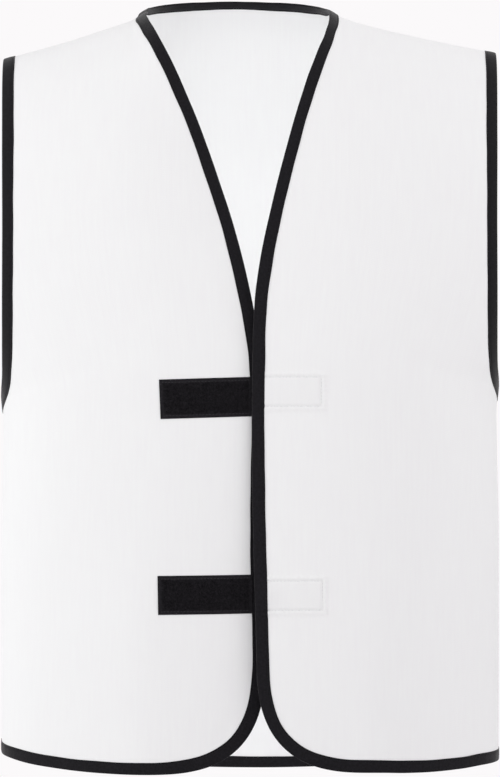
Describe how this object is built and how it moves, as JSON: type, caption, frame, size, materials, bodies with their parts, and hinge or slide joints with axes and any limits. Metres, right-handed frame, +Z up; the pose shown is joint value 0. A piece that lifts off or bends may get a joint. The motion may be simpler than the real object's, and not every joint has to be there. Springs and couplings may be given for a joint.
{
  "type": "identification vest",
  "caption": "Sleeveless white V-neck identification vest with black bound edges, an open front with rounded corners and hook-and-loop tapes, shaped as worn.",
  "frame": {"origin": "between the two shoulders, in the plane of the shoulder and side seams, at the middle height of the shoulder line", "axes": "+Z up, along the vest's length; -Y toward the front; +X toward the wearer's left"},
  "size_m": [0.4788, 0.2762, 0.754],
  "materials": {
    "white_cloth": "matt warp-knit polyester",
    "black_binding": "matt folded bias tape",
    "black_loop_tape": "matt loop pile with smooth selvedges",
    "white_hook_tape": "woven nylon hook tape"
  },
  "bodies": {
    "root": {"back_panel": "white_cloth", "front_panel_right": "white_cloth", "front_panel_left": "white_cloth", "edge_binding": "black_binding", "armhole_binding_right": "black_binding", "armhole_binding_left": "black_binding", "loop_strip_upper": "black_loop_tape", "loop_strip_lower": "black_loop_tape", "hook_patch_upper": "white_hook_tape", "hook_patch_lower": "white_hook_tape"}
  },
  "joints": []
}
